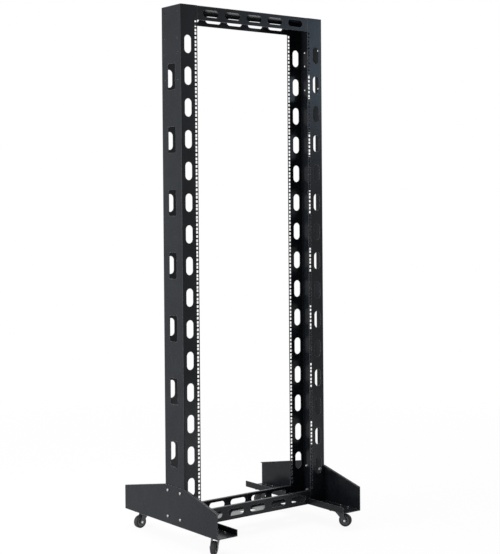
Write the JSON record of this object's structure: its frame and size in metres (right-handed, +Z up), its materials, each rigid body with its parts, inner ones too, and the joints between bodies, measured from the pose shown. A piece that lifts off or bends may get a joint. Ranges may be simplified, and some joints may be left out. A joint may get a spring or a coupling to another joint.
{
  "type": "two-post open frame rack on casters",
  "caption": "Two-post open frame equipment rack in black sheet steel, with slotted posts, square mounting holes, angled feet and swivel casters.",
  "frame": {"origin": "centre of the footprint on the floor under the wheels", "axes": "+X to the rack's right seen from the front, +Y from the front to the rear, +Z up"},
  "size_m": [0.7137, 0.625, 2.0512],
  "materials": {
    "powder_coat": "satin black powder coat",
    "zinc_plate": "zinc plated pressed steel",
    "wheel_centre": "moulded nylon",
    "tyre_rubber": "matt black rubber"
  },
  "bodies": {
    "root": {"left_post": "powder_coat", "right_post": "powder_coat", "top_beam": "powder_coat", "front_bottom_beam": "powder_coat", "rear_bottom_beam": "powder_coat", "left_foot": "powder_coat", "right_foot": "powder_coat", "front_left_caster_plate": "zinc_plate", "front_right_caster_plate": "zinc_plate", "rear_left_caster_plate": "zinc_plate", "rear_right_caster_plate": "zinc_plate"},
    "front_left_swivel": {"front_left_fork": "zinc_plate", "front_left_axle": "zinc_plate"},
    "front_left_wheel": {"front_left_hub": "wheel_centre", "front_left_tyre": "tyre_rubber"},
    "front_right_swivel": {"front_right_fork": "zinc_plate", "front_right_axle": "zinc_plate"},
    "front_right_wheel": {"front_right_hub": "wheel_centre", "front_right_tyre": "tyre_rubber"},
    "rear_left_swivel": {"rear_left_fork": "zinc_plate", "rear_left_axle": "zinc_plate"},
    "rear_left_wheel": {"rear_left_hub": "wheel_centre", "rear_left_tyre": "tyre_rubber"},
    "rear_right_swivel": {"rear_right_fork": "zinc_plate", "rear_right_axle": "zinc_plate"},
    "rear_right_wheel": {"rear_right_hub": "wheel_centre", "rear_right_tyre": "tyre_rubber"}
  },
  "joints": [
    {"name": "front_left_swivel_turn", "type": "hinge", "parent": "root", "child": "front_left_swivel", "pos_m": [-0.309, -0.2405, 0.06], "axis": [0, 0, 1], "continuous": true},
    {"name": "front_left_wheel_spin", "type": "hinge", "parent": "front_left_swivel", "child": "front_left_wheel", "pos_m": [-0.32817, -0.25494, 0.025], "axis": [0.6018, -0.7986, 0], "continuous": true},
    {"name": "front_right_swivel_turn", "type": "hinge", "parent": "root", "child": "front_right_swivel", "pos_m": [0.309, -0.2405, 0.06], "axis": [0, 0, 1], "continuous": true},
    {"name": "front_right_wheel_spin", "type": "hinge", "parent": "front_right_swivel", "child": "front_right_wheel", "pos_m": [0.32207, -0.26063, 0.025], "axis": [0.8387, 0.5446, 0], "continuous": true},
    {"name": "rear_left_swivel_turn", "type": "hinge", "parent": "root", "child": "rear_left_swivel", "pos_m": [-0.309, 0.2405, 0.06], "axis": [0, 0, 1], "continuous": true},
    {"name": "rear_left_wheel_spin", "type": "hinge", "parent": "rear_left_swivel", "child": "rear_left_wheel", "pos_m": [-0.33297, 0.23924, 0.025], "axis": [0.0523, -0.9986, 0], "continuous": true},
    {"name": "rear_right_swivel_turn", "type": "hinge", "parent": "root", "child": "rear_right_swivel", "pos_m": [0.309, 0.2405, 0.06], "axis": [0, 0, 1], "continuous": true},
    {"name": "rear_right_wheel_spin", "type": "hinge", "parent": "rear_right_swivel", "child": "rear_right_wheel", "pos_m": [0.28536, 0.24467, 0.025], "axis": [-0.1736, -0.9848, 0], "continuous": true}
  ]
}
